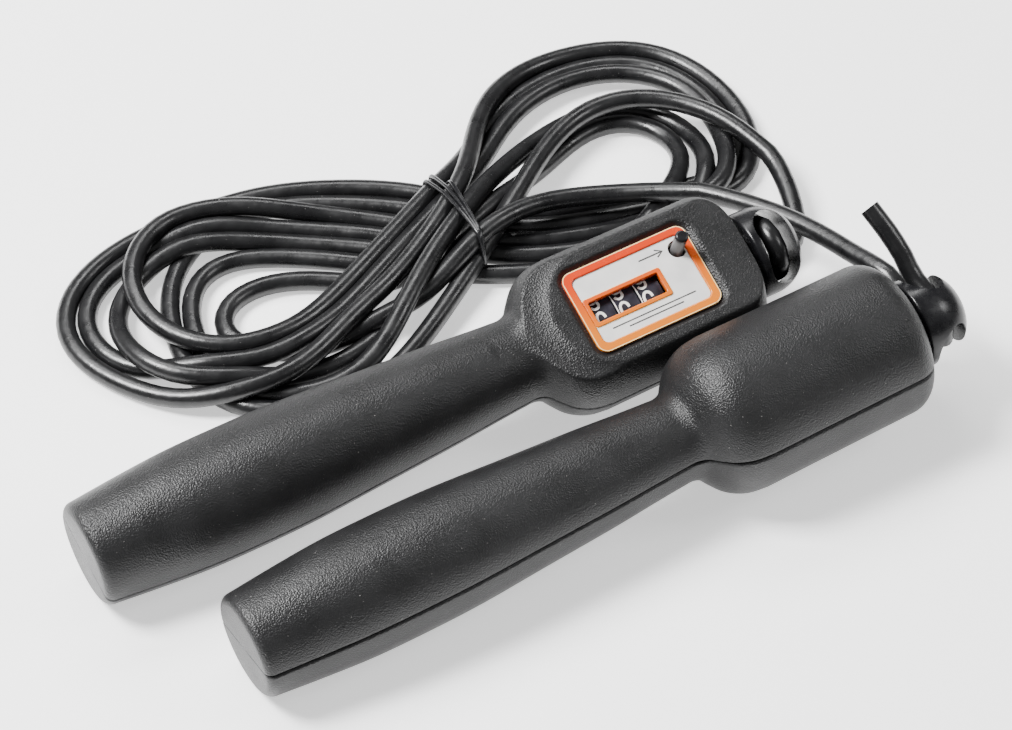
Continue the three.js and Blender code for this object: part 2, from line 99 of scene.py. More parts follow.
TURN_1 = [
    [-24, 41.5, 5], [-36, 42.5, 4], [-51, 48, 3], [-58, 57, 3], [-60, 68, 3], [-57, 80, 3.5],
    [-54, 91, 4], [-44, 104, 4], [-25, 111, 4], [-10, 108, 4], [12, 92, 3], [24, 79, 2.6],
    [38, 71, 2.6], [54, 65, 2.6], [74, 61, 2.6], [90, 56, 4], [100, 64, 5], [106, 77, 6],
    [108, 87, 6], [106, 97, 6], [103, 105, 6], [95, 110, 7], [84, 114, 7], [74, 115, 7],
    [61, 112, 8], [52, 108, 9], [43, 101, 10], [33, 91, 11.5], [22, 82, 13], [10, 74, 12],
    [-4, 65, 10.5], [-22, 57, 8], [-39, 51, 6],
]
TURN_2 = [
    [-52, 53, 4], [-64, 58, 3.5], [-73, 70, 3], [-80, 80, 3], [-82, 92, 3], [-79, 100, 3.5],
    [-70, 107, 4], [-57, 112, 4], [-33, 114, 4], [-8, 112, 4], [6, 105, 3], [19, 93, 2.6],
    [30, 80, 2.6], [42, 74, 2.6], [58, 67, 2.6], [76, 61, 2.6], [94, 58, 3], [102, 68, 3],
    [105, 80, 3], [104, 92, 4], [99, 102, 4], [90, 107, 5], [80, 110, 5], [68, 110, 5],
    [56, 107, 6], [45, 101, 6.5], [32, 95, 7], [18, 89, 8], [6, 82, 8], [-10, 73, 8.5],
    [-33, 63, 9],
]
TURN_3 = [
    [-42, 62.5, 9.5], [-50, 64, 9.5], [-57, 70, 9], [-61, 80, 9], [-63, 93, 9], [-60, 101, 8.5],
    [-55, 106, 8], [-48, 111, 8], [-37, 113, 8], [-27, 111, 8], [-8, 101, 7], [7, 88, 4],
    [19, 77, 2.6], [32, 69, 2.6], [48, 62, 2.6], [70, 58, 2.6], [84, 57, 3.5], [96, 61, 6],
    [101, 71, 7], [104, 85, 7], [102, 91, 8], [96, 97, 8], [88, 103, 8], [79, 106, 8],
    [69, 107, 8], [58, 105, 8], [46, 98, 8], [35, 91, 8], [20, 84.5, 8], [8, 77.5, 8],
    [-6, 70, 8], [-21, 63, 7], [-36, 57, 6],
]
TURN_4 = [
    [-50, 60, 6], [-65, 66, 6], [-75, 79, 6], [-77, 92, 6], [-73, 101, 6], [-62, 108, 6],
    [-50, 111, 5.5], [-38, 109, 5], [-26, 104, 4], [-16, 96, 3.5], [1, 85, 3], [14, 74, 2.6],
    [27, 66, 2.6], [45, 59, 2.6], [64, 56, 2.6], [80, 57, 3], [90, 62, 4], [94, 70, 4],
    [95, 79, 4], [92, 86, 4], [86, 92, 4], [81, 95, 4], [73, 96, 5], [64, 94, 7], [54, 91, 9],
    [40, 86.5, 11], [28, 80.5, 13], [13, 71, 14], [-2, 58, 12.5], [-12, 50, 10], [-22, 43, 8],
]
TURN_5 = [
    [-34, 45, 5.5], [-46, 49, 5], [-56, 56, 3], [-57, 66, 2.6], [-52, 80, 2.6], [-51, 87, 2.6],
    [-44, 96, 3], [-34, 100, 3], [-22, 98, 3], [-12, 92, 3], [-3, 84, 2.6], [8, 72, 2.6],
    [22, 63, 2.6], [40, 56, 2.6], [58, 54, 2.6], [72, 56, 3], [82, 63, 3], [89, 71, 3],
    [91, 80, 3], [88, 87, 3], [83, 91, 3], [75, 92.5, 3], [66, 91, 3.5], [56, 86, 5],
    [46, 82, 6.5], [37, 80, 7.5], [22, 76, 7.5], [10, 69, 7.5], [-4, 62, 6],
]
BIGHT = [
    [-18, 54.5, 5], [-32, 51, 4], [-48, 54, 7], [-60, 61, 7], [-70, 72, 7], [-71, 86, 7],
    [-65, 97, 7], [-54, 103, 7], [-40, 104, 6], [-26, 99, 4.5], [-12, 92.5, 3], [0, 86, 2.6],
    [8, 79.5, 2.6], [10, 73, 2.6], [5, 68.5, 2.6], [-2, 70.5, 2.6], [-10, 77.5, 3], [-21, 84.5, 3.5],
    [-33, 87, 4], [-44, 83, 4], [-49, 75, 4], [-45, 66, 4], [-36, 60, 4.5], [-22, 57, 5.5],
    [-10, 57, 6], [2, 58, 8], [12, 62, 11], [20, 66.5, 14], [28, 69.5, 15.5], [37, 71.5, 15],
    [45, 72, 13.5], [52, 70, 13], [62, 65, 13], [70, 59, 13],
]
LEAD_B = [
    [77.8, 52.6, 13.8], [83, 44.6, 15.5], [87.4, 36.4, 17.2], [90.4, 29.6, 18.4], [92.8, 22.6, 19.6],
    [94.6, 15.6, 20.8], [96, 8.8, 22], [97.4, 2.2, 23.4], [98.4, -3.6, 24.2],
]
KNOT_B = [
    [5.4, -7, -10.2], [5.9, -6.3, -5], [6.4, -5.9, 0.5], [6.7, -3.4, 5], [6.7, 0, 6.2],
    [6.7, 3.2, 5.2], [6.7, 5.4, 1.2], [6.6, 4.9, -4],
]
TAIL_B = [[99.2, -11.6, 31.6], [98.6, -8.2, 35.2], [97.4, -3, 39.2], [95.6, 3.4, 43.2]]


def in_knob(points, matrix, length):
    """Points measured from the base of a handle's knob, in the row frame."""
    base = length + KNOB_GAP
    return [list((matrix @ Vector((base + x, y, z))) / MM) for x, y, z in points]


def smooth_line(points, step):
    """A centripetal curve through the points, cut into steps of equal length."""
    p = np.array(points, float)
    p = np.vstack([2 * p[0] - p[1], p, 2 * p[-1] - p[-2]])
    out = []
    for a, b, c, d in zip(p[:-3], p[1:-2], p[2:-1], p[3:]):
        ta = 0.0
        tb = ta + np.linalg.norm(b - a) ** 0.5
        tc = tb + np.linalg.norm(c - b) ** 0.5
        td = tc + np.linalg.norm(d - c) ** 0.5
        for t in np.linspace(tb, tc, 12, endpoint=False):
            ab = (tb - t) / (tb - ta) * a + (t - ta) / (tb - ta) * b
            bc = (tc - t) / (tc - tb) * b + (t - tb) / (tc - tb) * c
            cd = (td - t) / (td - tc) * c + (t - tc) / (td - tc) * d
            abc = (tc - t) / (tc - ta) * ab + (t - ta) / (tc - ta) * bc
            bcd = (td - t) / (td - tb) * bc + (t - tb) / (td - tb) * cd
            out.append((tc - t) / (tc - tb) * abc + (t - tb) / (tc - tb) * bcd)
    out = np.array(out + [p[-2]])
    along = np.concatenate([[0], np.cumsum(np.linalg.norm(np.diff(out, axis=0), axis=1))])
    at = np.linspace(0, along[-1], int(round(along[-1] / step)) + 1)
    return np.stack([np.interp(at, along, out[:, k]) for k in range(3)], axis=1)


RIGHT_SHIFT, LEFT_SHIFT, TIED_SHIFT = 6.5, 2, (6, 2)


def opened_out(line):
    """Moves the right lobe out, the left one in, and the upper strands at the tie together."""
    x, y = line[:, 0], line[:, 1]
    right = np.clip((x - 24) / 25, 0, 1) * np.clip((y - 72) / 30, 0, 1)
    left = np.clip((5 - x) / 50, 0, 1)
    tied = np.exp(-((x - 19) ** 2 + (y - 90) ** 2) / 260)
    moved = line.copy()
    moved[:, 0] += LEFT_SHIFT * left + TIED_SHIFT[0] * tied
    moved[:, 1] += RIGHT_SHIFT * right + LEFT_SHIFT * left + TIED_SHIFT[1] * tied
    return moved


def eased(line, held, rounds):
    """Evens out the kinks between the route's points."""
    line = line.copy()
    for _ in range(rounds):
        bend = np.zeros_like(line)
        bend[1:-1] = (line[:-2] + line[2:]) / 2 - line[1:-1]
        bend[held] = 0
        line += bend / 2
    return line


SETTLE_ROUNDS = 140
NEAR_STEPS = 3
PUSH, SINK, SPREAD = 0.22, 0.03, 0.65


def settle(line, held):
    """Pushes strands that touch apart until they lie beside and on each other, above the table."""
    shift = np.zeros_like(line)
    index = np.arange(len(line))
    apart = np.abs(index[:, None] - index[None, :]) > NEAR_STEPS
    for _ in range(SETTLE_ROUNDS):
        now = line + shift
        delta = now[:, None, :] - now[None, :, :]
        distance = np.sqrt((delta ** 2).sum(2)) + 1e-6
        push = np.clip(ROPE_D * 1.01 - distance, 0, None) * apart
        shift += PUSH * (delta / distance[..., None] * push[..., None]).sum(1)
        shift[:, 2] -= SINK
        smooth = shift.copy()
        smooth[1:-1] = 0.25 * shift[:-2] + 0.5 * shift[1:-1] + 0.25 * shift[2:]
        shift = (1 - SPREAD) * shift + SPREAD * smooth
        shift[held] = 0
        shift[:, 2] = np.maximum(shift[:, 2], ROPE_D / 2 - line[:, 2])
    return line + shift


EASE_BEFORE, EASE_AFTER = 14, 5
front = in_knob(KNOT_A, KNOB_A, LENGTH_A) + LEAD_A
rear = LEAD_B + in_knob(KNOT_B, KNOB_B, LENGTH_B) + TAIL_B
turns = RIGHT_LOBE_A + TURN_1 + TURN_2 + TURN_3 + TURN_4 + TURN_5 + BIGHT
route = smooth_line(front + turns + rear, STEP)
front_steps = len(smooth_line(front, STEP))
rear_steps = len(smooth_line(rear, STEP))
held = np.zeros(len(route), bool)
held[:front_steps] = True
held[-rear_steps:] = True
route[~held] = opened_out(route)[~held]
rope_line = eased(settle(eased(route, held, EASE_BEFORE), held), held, EASE_AFTER)


# ---- material helpers -----------------------------------------------------------------------
class Nodes:
    """A material's node tree, with object coordinates in millimetres to hand."""

    def __init__(self, name):
        self.material = bpy.data.materials.new(name)
        self.material.use_nodes = True
        self.tree = self.material.node_tree
        self.shader = self.tree.nodes["Principled BSDF"]
        where = self.tree.nodes.new("ShaderNodeTexCoord")
        scale = self.tree.nodes.new("ShaderNodeMapping")
        scale.inputs["Scale"].default_value = (1000, 1000, 1000)
        self.link(where.outputs["Object"], scale.inputs["Vector"])
        self.mm = scale.outputs["Vector"]

    def link(self, a, b):
        self.tree.links.new(a, b)

    def noise(self, size, detail=2.0, rough=0.5, stretch=None):
        """Noise whose lumps are about size millimetres across."""
        n = self.tree.nodes.new("ShaderNodeTexNoise")
        n.inputs["Scale"].default_value = 1 / size
        n.inputs["Detail"].default_value = detail
        n.inputs["Roughness"].default_value = rough
        vector = self.mm
        if stretch:
            m = self.tree.nodes.new("ShaderNodeMapping")
            m.inputs["Scale"].default_value = stretch
            self.link(vector, m.inputs["Vector"])
            vector = m.outputs["Vector"]
        self.link(vector, n.inputs["Vector"])
        return n.outputs["Fac"]

    def cells(self, size):
        n = self.tree.nodes.new("ShaderNodeTexVoronoi")
        n.inputs["Scale"].default_value = 1 / size
        self.link(self.mm, n.inputs["Vector"])
        return n.outputs["Distance"]

    def between(self, value, low, high, a, b):
        """Maps value from low..high to a..b."""
        n = self.tree.nodes.new("ShaderNodeMapRange")
        for name, v in (("From Min", low), ("From Max", high), ("To Min", a), ("To Max", b)):
            n.inputs[name].default_value = v
        self.link(value, n.inputs["Value"])
        return n.outputs["Result"]

    def mix(self, factor, a, b):
        n = self.tree.nodes.new("ShaderNodeMix")
        n.data_type = "RGBA"
        self.link(factor, n.inputs["Factor"])
        for socket, value in ((n.inputs[6], a), (n.inputs[7], b)):
            if isinstance(value, tuple):
                socket.default_value = (*value, 1)
            else:
                self.link(value, socket)
        return n.outputs[2]

    def bump(self, height, strength, distance, normal=None):
        n = self.tree.nodes.new("ShaderNodeBump")
        n.inputs["Strength"].default_value = strength
        n.inputs["Distance"].default_value = distance * MM
        self.link(height, n.inputs["Height"])
        if normal:
            self.link(normal, n.inputs["Normal"])
        return n.outputs["Normal"]

    def set(self, **values):
        for name, value in values.items():
            socket = self.shader.inputs[name.replace("_", " ")]
            if isinstance(value, (int, float)):
                socket.default_value = value
            elif isinstance(value, tuple):
                socket.default_value = (*value, 1)
            else:
                self.link(value, socket)
        return self.material


def grained_plastic():
    n = Nodes("grained_plastic")
    cloud = n.between(n.noise(9, 4), 0.35, 0.65, 0, 1)
    tone = n.mix(cloud, (0.007, 0.007, 0.0073), (0.0115, 0.0115, 0.012))
    dust = n.between(n.noise(0.5, 1), 0.76, 0.79, 0, 1)
    colour = n.mix(dust, tone, (0.14, 0.135, 0.13))
    rough = n.between(n.noise(14, 3), 0.3, 0.7, 0.34, 0.44)
    fine = n.bump(n.cells(0.42), 0.8, 0.13)
    relief = n.bump(n.noise(0.45, 2), 0.5, 0.14, fine)
    n.set(Specular_IOR_Level=0.36)
    return n.set(Base_Color=colour, Roughness=rough, Normal=relief)


def glossy_black():
    n = Nodes("glossy_black")
    cloud = n.between(n.noise(4, 3), 0.4, 0.6, 0, 1)
    tone = n.mix(cloud, (0.005, 0.005, 0.006), (0.010, 0.010, 0.011))
    rough = n.between(n.noise(2.5, 5, 0.7), 0.35, 0.7, 0.2, 0.38)
    n.set(Specular_IOR_Level=0.32)
    return n.set(Base_Color=tone, Roughness=rough, Normal=n.bump(n.noise(3, 2), 0.12, 0.2))


def rope_pvc():
    n = Nodes("rope_pvc")
    cloud = n.between(n.noise(6, 4), 0.35, 0.65, 0, 1)
    tone = n.mix(cloud, (0.004, 0.004, 0.0045), (0.009, 0.009, 0.0095))
    dust = n.between(n.noise(0.6, 2), 0.74, 0.78, 0, 1)
    colour = n.mix(dust, tone, (0.16, 0.155, 0.15))
    rough = n.between(n.noise(5, 4, 0.6), 0.35, 0.7, 0.24, 0.40)
    return n.set(Base_Color=colour, Roughness=rough, Normal=n.bump(n.noise(1.4, 3), 0.3, 0.2))


def amber():
    """Orange with painted shade: it turns redder and darker towards the border's far side."""
    n = Nodes("amber")
    side = n.tree.nodes.new("ShaderNodeSeparateXYZ")
    n.link(n.mm, side.inputs["Vector"])
    # Painted shade: the border's colour goes redder and darker towards its far side.
    far_side_shade = n.between(side.outputs["Y"], 10, 23, 0, 1)
    colour = n.mix(far_side_shade, (0.62, 0.16, 0.003), (0.56, 0.035, 0.003))
    return n.set(Base_Color=colour, Roughness=n.between(n.noise(3, 3), 0.3, 0.7, 0.2, 0.3))


def label_film():
    n = Nodes("label_film")
    cloud = n.between(n.noise(5, 4), 0.35, 0.65, 0, 1)
    colour = n.mix(cloud, (0.62, 0.61, 0.60), (0.70, 0.69, 0.67))
    return n.set(Base_Color=colour, Roughness=n.between(n.noise(2, 3), 0.3, 0.7, 0.28, 0.36))


def steel():
    n = Nodes("steel")
    scratch = n.noise(0.5, 3, 0.6, (0.4, 3, 3))
    colour = n.mix(n.between(scratch, 0.3, 0.7, 0, 1), (0.42, 0.42, 0.43), (0.60, 0.60, 0.61))
    return n.set(Base_Color=colour, Metallic=1.0, Roughness=n.between(scratch, 0.3, 0.7, 0.2, 0.36))


def plain(name, dark, light, rough_low, rough_high, size=3.0):
    """An even surface that varies a little in tone and polish over about size millimetres."""
    n = Nodes(name)
    colour = n.mix(n.between(n.noise(size, 4), 0.35, 0.65, 0, 1), dark, light)
    rough = n.between(n.noise(size / 2, 3), 0.3, 0.7, rough_low, rough_high)
    return n.set(Base_Color=colour, Roughness=rough, Normal=n.bump(n.noise(size / 4, 2), 0.1, 0.05))


LOOKS = {
    "handle_plastic": grained_plastic(),
    "knob_plastic": glossy_black(),
    "rope_pvc": rope_pvc(),
    "tie_plastic": plain("tie_plastic", (0.006, 0.006, 0.007), (0.014, 0.014, 0.015), 0.16, 0.3),
    "steel": steel(),
    "amber_plastic": amber(),
    "label_print": label_film(),
    "wheel_plastic": plain("wheel_plastic", (0.010, 0.009, 0.014), (0.018, 0.016, 0.026), 0.3, 0.45),
    "nylon": plain("nylon", (0.50, 0.48, 0.42), (0.62, 0.60, 0.54), 0.4, 0.55),
}
EDGE_GLOW = plain("edge_glow", (0.86, 0.58, 0.24), (0.92, 0.68, 0.34), 0.3, 0.4)
PIN_STEEL = plain("pin_steel", (0.05, 0.05, 0.052), (0.11, 0.11, 0.112), 0.3, 0.42)
INK_DARK = plain("ink_dark", (0.035, 0.034, 0.034), (0.06, 0.058, 0.056), 0.4, 0.5)
INK_LIGHT = plain("ink_light", (0.70, 0.69, 0.66), (0.82, 0.81, 0.78), 0.4, 0.5)
SLOT_OF = {row["node"]: row["material_slot"] for row in frame["record"]["subparts"]}
for node, thing in frame["nodes"].items():
    thing.data.materials.clear()
    thing.data.materials.append(LOOKS[SLOT_OF[node]])


# ---- mesh helpers ---------------------------------------------------------------------------
def piece(name, mesh, body, slot, replaces=(), material=None, smooth=True, angle=35):
    """Puts a mesh into the scene as a named piece that rides on a body and replaces CAD nodes."""
    thing = bpy.data.objects.new(name, mesh)
    bpy.context.scene.collection.objects.link(thing)
    mesh.materials.clear()
    mesh.materials.append(material or LOOKS[slot])
    if smooth:
        mesh.shade_smooth()
        mesh.set_sharp_from_angle(angle=math.radians(angle))
    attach(thing, body)
    if replaces:
        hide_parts(*replaces)
    return thing


def baked(thing):
    """The mesh of an object with its modifiers applied; the object goes."""
    depsgraph = bpy.context.evaluated_depsgraph_get()
    mesh = bpy.data.meshes.new_from_object(thing.evaluated_get(depsgraph))
    bpy.data.objects.remove(thing)
    return mesh


def loose(mesh):
    thing = bpy.data.objects.new("work", mesh)
    bpy.context.scene.collection.objects.link(thing)
    return thing


def grid_mesh(rows, closed=False):
    """A mesh over rows of points, each row joined to the next."""
    rows = np.array(rows, float)
    count, width, _ = rows.shape
    mesh = bpy.data.meshes.new("grid")
    faces = []
    for i in range(count - 1):
        for j in range(width if closed else width - 1):
            k = (j + 1) % width
            faces.append((i * width + j, i * width + k, (i + 1) * width + k, (i + 1) * width + j))
    mesh.from_pydata(rows.reshape(-1, 3).tolist(), [], faces)
    return mesh


def tidy(mesh, matrix, merge=0.001):
    """Welds a mesh, turns its faces outwards and puts it in its place."""
    bm = bmesh.new()
    bm.from_mesh(mesh)
    bmesh.ops.remove_doubles(bm, verts=bm.verts, dist=merge)
    bmesh.ops.recalc_face_normals(bm, faces=bm.faces)
    bm.to_mesh(mesh)
    bm.free()
    mesh.transform(matrix)
    return mesh


def turned(profile, segments=64):
    """A solid of revolution about x from (x, radius) pairs."""
    angles = np.linspace(0, 2 * math.pi, segments, endpoint=False)
    return grid_mesh([[(x, r * math.sin(a), r * math.cos(a)) for a in angles] for x, r in profile], True)


def joined(meshes):
    both = bmesh.new()
    for mesh in meshes:
        both.from_mesh(mesh)
    out = bpy.data.meshes.new("joined")
    both.to_mesh(out)
    both.free()
    return out


def circle(x, y, r, steps=32):
    return [(x + r * math.cos(a), y + r * math.sin(a)) for a in np.linspace(0, 2 * math.pi, steps, False)]


def arc(cx, cy, rx, ry, a0, a1, steps=14):
    return [(cx + rx * math.cos(math.radians(a)), cy + ry * math.sin(math.radians(a)))
            for a in np.linspace(a0, a1, steps)]


def rounded_rectangle(x, y, length, width, corner, steps=8):
    out = []
    for k, (sx, sy) in enumerate(((1, -1), (1, 1), (-1, 1), (-1, -1))):
        for i in range(steps + 1):
            a = math.radians(-90 + 90 * k + 90 * i / steps)
            out.append((x + sx * (length / 2 - corner) + corner * math.cos(a),
                        y + sy * (width / 2 - corner) + corner * math.sin(a)))
    return out


def slab(loops, z0, z1, bevel):
    """A flat piece with rounded edges: the first loop is its outline, the others its holes."""
    data = bpy.data.curves.new("slab", "CURVE")
    data.dimensions = "2D"
    data.fill_mode = "BOTH"
    data.extrude = (z1 - z0) / 2 - bevel
    data.bevel_depth = bevel
    data.bevel_resolution = 3
    data.offset = -bevel
    for loop in loops:
        spline = data.splines.new("POLY")
        spline.points.add(len(loop) - 1)
        for point, (x, y) in zip(spline.points, loop):
            point.co = (x, y, 0, 1)
        spline.use_cyclic_u = True
    mesh = baked(loose(data))
    mesh.transform(Matrix.Translation((0, 0, (z0 + z1) / 2)))
    return mesh


def tube(points, radius, body, name, slot, closed=False, sides=8):
    """A round cord along points, in metres, as a piece of its own."""
    data = bpy.data.curves.new(name, "CURVE")
    data.dimensions = "3D"
    data.bevel_depth = radius
    data.bevel_resolution = sides // 2 - 1
    data.use_fill_caps = True
    spline = data.splines.new("POLY")
    spline.points.add(len(points) - 1)
    for point, at in zip(spline.points, points):
        point.co = (*at, 1)
    spline.use_cyclic_u = closed
    spline.use_smooth = True
    data.materials.append(LOOKS[slot])
    thing = bpy.data.objects.new(name, data)
    bpy.context.scene.collection.objects.link(thing)
    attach(thing, body)
    return thing


# ---- the rope and its tie -------------------------------------------------------------------
rope = tube(rope_line * MM, ROPE_D / 2 * MM, "rope", "rope_cord", "rope_pvc", sides=14)
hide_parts("rope_lead_a", "rope_lead_b", "rope_hank", "rope_knot_a", "rope_knot_b")

TIE_AT = np.array([23.6, 77.5])
TIE_TURNS, TIE_R = 3, 0.55
TIE_HEADING, TIE_FAN, TIE_PITCH = 87, 4, 1.1
TIE_REACH = 16
LIFTED_Z = ROPE_D * 1.1


def hull(points):
    """The convex outline of points in a plane, counter-clockwise."""
    points = sorted(map(tuple, points))

    def half(ordered):
        out = []
        for p in ordered:
            while len(out) > 1 and ((out[-1][0] - out[-2][0]) * (p[1] - out[-2][1])
                                    - (out[-1][1] - out[-2][1]) * (p[0] - out[-2][0])) <= 0:
                out.pop()
            out.append(p)
        return out[:-1]

    return half(points) + half(points[::-1])


def tie_wrap(angle_deg, offset):
    """One wrap pulled tight round the lifted strands that cross a plane of the given heading."""
    a = math.radians(angle_deg)
    across = np.array([math.cos(a), math.sin(a)])
    normal = np.array([-across[1], across[0]])
    centre = TIE_AT + normal * offset
    side = (rope_line[:, :2] - centre) @ normal
    crossing = []
    for i in np.nonzero(side[:-1] * side[1:] < 0)[0]:
        t = side[i] / (side[i] - side[i + 1])
        p = rope_line[i] * (1 - t) + rope_line[i + 1] * t
        s = (p[:2] - centre) @ across
        if abs(s) < TIE_REACH and p[2] > LIFTED_Z:
            crossing.append((s, p[2]))
    clear = ROPE_D / 2 + TIE_R
    ring = [(s + clear * math.cos(b), z + clear * math.sin(b))
            for s, z in crossing for b in np.linspace(0, 2 * math.pi, 16, endpoint=False)]
    return [(*(centre + across * s), z) for s, z in hull(ring)]


for k in range(TIE_TURNS):
    line = tie_wrap(TIE_HEADING + TIE_FAN * (k - 1), TIE_PITCH * (k - 1))
    loop = smooth_line(line + line[:2], 1.0)[:-3]
    tube(np.array(loop) * MM, TIE_R * MM, "rope", f"tie_wrap_{k + 1}", "tie_plastic",
                      closed=True)
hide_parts("hank_tie")

# ---- the shells -----------------------------------------------------------------------------
GRIP_END_R, BULGE_R, NECK_R, HEAD_R, HEAD_END_R, CORNER_R = 12.95, 15.1, 10.8, 19.75, 19.3, 6.5
FACET_Z = 12.2
FACET_ARC_X, FACET_ARC_R, FACET_RAMP = 140.0, 15.8, 1.4
HALF_SEAM = 0.14
SEAM_DIP, SEAM_BEVEL = 0.42, 0.55
BUTT_EDGE = 2.2
DISH_R, DISH_DEPTH, SHAFT_HOLE_R = 8.4, 0.3, 5.4
PROFILE = [
    (2, GRIP_END_R), (14, GRIP_END_R + 1.1), (26, BULGE_R - 0.2), (38, BULGE_R), (54, BULGE_R - 0.25),
    (74, BULGE_R - 1.5), (93, NECK_R + 1.6), (105, NECK_R + 0.6), (112, NECK_R + 0.1), (115, NECK_R),
    (117.4, NECK_R + 0.9), (119.5, NECK_R + 3.3), (122, NECK_R + 6), (124.5, HEAD_R - 1.4),
    (127, HEAD_R - 0.5), (131, HEAD_R),
]
PLATE_X, PLATE_LENGTH, PLATE_WIDTH, PLATE_CORNER = 147.8, 34.0, 22.2, 2.6
SHELL_WALL = 1.6
HEAD_FROM = 108


def outline(length):
    """(x, radius) along a handle, from the middle of its grip end to the hole for its shaft."""
    out = [(0, 0.01), (0, 4), (0, 8), (0, GRIP_END_R - BUTT_EDGE)]
    for i in range(1, 8):
        a = i / 8 * math.pi / 2
        out.append((BUTT_EDGE * (1 - math.cos(a)), GRIP_END_R - BUTT_EDGE * (1 - math.sin(a))))
    line = smooth_line([(x, r, 0) for x, r in PROFILE], 0.7)
    out += [(x, r) for x, r, _ in line]
    straight = length - CORNER_R
    for x in np.arange(131.7, straight, 0.7):
        out.append((x, HEAD_R + (HEAD_END_R - HEAD_R) * (x - 131) / (straight - 131)))
    for i in range(13):
        a = i / 12 * math.pi / 2
        out.append((straight + CORNER_R * math.sin(a), HEAD_END_R - CORNER_R + CORNER_R * math.cos(a)))
    floor_x = length - DISH_DEPTH
    return out + [(length, 10), (length, DISH_R), (floor_x, DISH_R - 0.3), (floor_x, SHAFT_HOLE_R)]


def soft_min(value, limit, blend):
    """The smaller of the two, with a rounded corner of about blend between them."""
    h = np.clip(0.5 + 0.5 * (value - limit) / blend, 0, 1)
    return value * (1 - h) + limit * h - blend * h * (1 - h)


def outside_plate(x, y):
    """Distance outside the plate's outline, negative within it."""
    qx = np.abs(x - PLATE_X) - PLATE_LENGTH / 2 + PLATE_CORNER
    qy = np.abs(y) - PLATE_WIDTH / 2 + PLATE_CORNER
    corner = np.hypot(np.maximum(qx, 0), np.maximum(qy, 0))
    return corner + np.minimum(np.maximum(qx, qy), 0) - PLATE_CORNER


def facet_height(x, y):
    """The counter head's flat top, which a round front border leaves with a soft ramp to the neck."""
    beyond = np.where(x < FACET_ARC_X, np.hypot(x - FACET_ARC_X, y) - FACET_ARC_R, 0)
    return FACET_Z - FACET_RAMP * (1 - np.exp(-np.clip(beyond, 0, None) / 3))


def counter_top(x, y, z):
    """Lowers a section of the counter head to its facet, with a soft recess round the plate."""
    z = soft_min(z, facet_height(x, y), 0.7)
    gap = outside_plate(x, y)
    dip = np.clip((1.6 - gap) / 1.4, 0, 1)
    return np.where((z > 8) & (gap < 1.6), z - 1.3 * dip * dip * (3 - 2 * dip), z)


def without_window(mesh):
    """Takes out the faces under the plate, which covers the opening's edge."""
    bm = bmesh.new()
    bm.from_mesh(mesh)
    hidden = []
    for face in bm.faces:
        x, y, z = face.calc_center_median()
        if z > 5 and outside_plate(x, y) < -0.8:
            hidden.append(face)
    bmesh.ops.delete(bm, geom=hidden, context="FACES")
    bm.to_mesh(mesh)
    bm.free()


def half_shell(length, top, with_counter):
    """One half of a handle: a moulded wall whose edge falls into a fine groove at the seam."""
    half = np.linspace(0, math.pi / 2, 76)
    angles = np.concatenate([-half[::-1], half[1:]])
    rows = []
    for x, r in outline(length):
        reach = max(r, 0.2)
        seam = math.asin(min(1, HALF_SEAM / reach))
        a = angles * (1 - seam / (math.pi / 2))
        edge = np.abs(np.abs(angles) - math.pi / 2) * reach
        radius = r - SEAM_DIP * np.clip(1 - edge / SEAM_BEVEL, 0, 1) ** 2 * min(1, r / 6)
        y, z = radius * np.sin(a), radius * np.cos(a)
        if top and with_counter and x > HEAD_FROM:
            z = counter_top(x, y, z)
        rows.append(np.stack([np.full_like(y, x), y, z if top else -z], axis=1))
    mesh = grid_mesh(rows)
    if top and with_counter:
        without_window(mesh)
    tidy(mesh, Matrix.Identity(4), 0.004)
    thing = loose(mesh)
    solid = thing.modifiers.new("wall", "SOLIDIFY")
    solid.thickness = SHELL_WALL
    solid.offset = -1
    return baked(thing)


for letter, length, matrix in (("a", LENGTH_A, SHELL_A), ("b", LENGTH_B, SHELL_B)):
    for top in (True, False):
        side = "top" if top else "bottom"
        mesh = half_shell(length, top, letter == "a")
        mesh.transform(matrix)
        piece(f"shell_skin_{side}_{letter}", mesh, f"handle_{letter}", "handle_plastic",
              [f"shell_{side}_{letter}"], angle=50)

# ---- the knobs ------------------------------------------------------------------------------
KNOB_R, KNOB_LENGTH, SHAFT_R = 11.15, 14.0, 3.0
COLLAR_LENGTH = 4.4
SLOT_FROM, SLOT_WIDTH, SLOT_LENGTH = 2.2, 9.0, 19.0


def knob_profile(base):
    """(x, radius) along a knob, from the middle of its base over its collar to the dome's tip."""
    out = [(base, 0.01), (base, 4), (base, KNOB_R - 1)]
    out += [(base + 1 - math.cos(a), KNOB_R - 1 + math.sin(a)) for a in np.linspace(0.3, math.pi / 2, 5)]
    for a in np.linspace(0, math.pi / 2, 26)[1:]:
        x = base + COLLAR_LENGTH + (KNOB_LENGTH - COLLAR_LENGTH) * math.sin(a)
        out.append((x, max(0.01, KNOB_R * math.cos(a) ** 0.72)))
    return out


def knob_mesh(length):
    """A domed knob on its shaft, with the slot for the cord's knot cut through it."""
    base = length + KNOB_GAP
    body = loose(tidy(turned(knob_profile(base), 96), Matrix.Identity(4), 0.02))
    middle = base + SLOT_FROM + SLOT_WIDTH / 2
    mouth = rounded_rectangle(middle, 0, SLOT_WIDTH, SLOT_LENGTH, SLOT_WIDTH / 2 - 0.01, 12)
    cutter = loose(slab([mouth], -30, 30, 0.001))
    cut = body.modifiers.new("slot", "BOOLEAN")
    cut.object = cutter
    cut.solver = "EXACT"
    edge = body.modifiers.new("edge", "BEVEL")
    edge.width = 0.7
    edge.segments = 3
    edge.limit_method = "ANGLE"
    edge.angle_limit = math.radians(40)
    mesh = baked(body)
    bpy.data.objects.remove(cutter)
    shaft = [(length - 7, 0.01), (length - 7, SHAFT_R), (base + 0.5, SHAFT_R), (base + 0.5, 0.01)]
    return joined([mesh, turned(shaft, 40)])


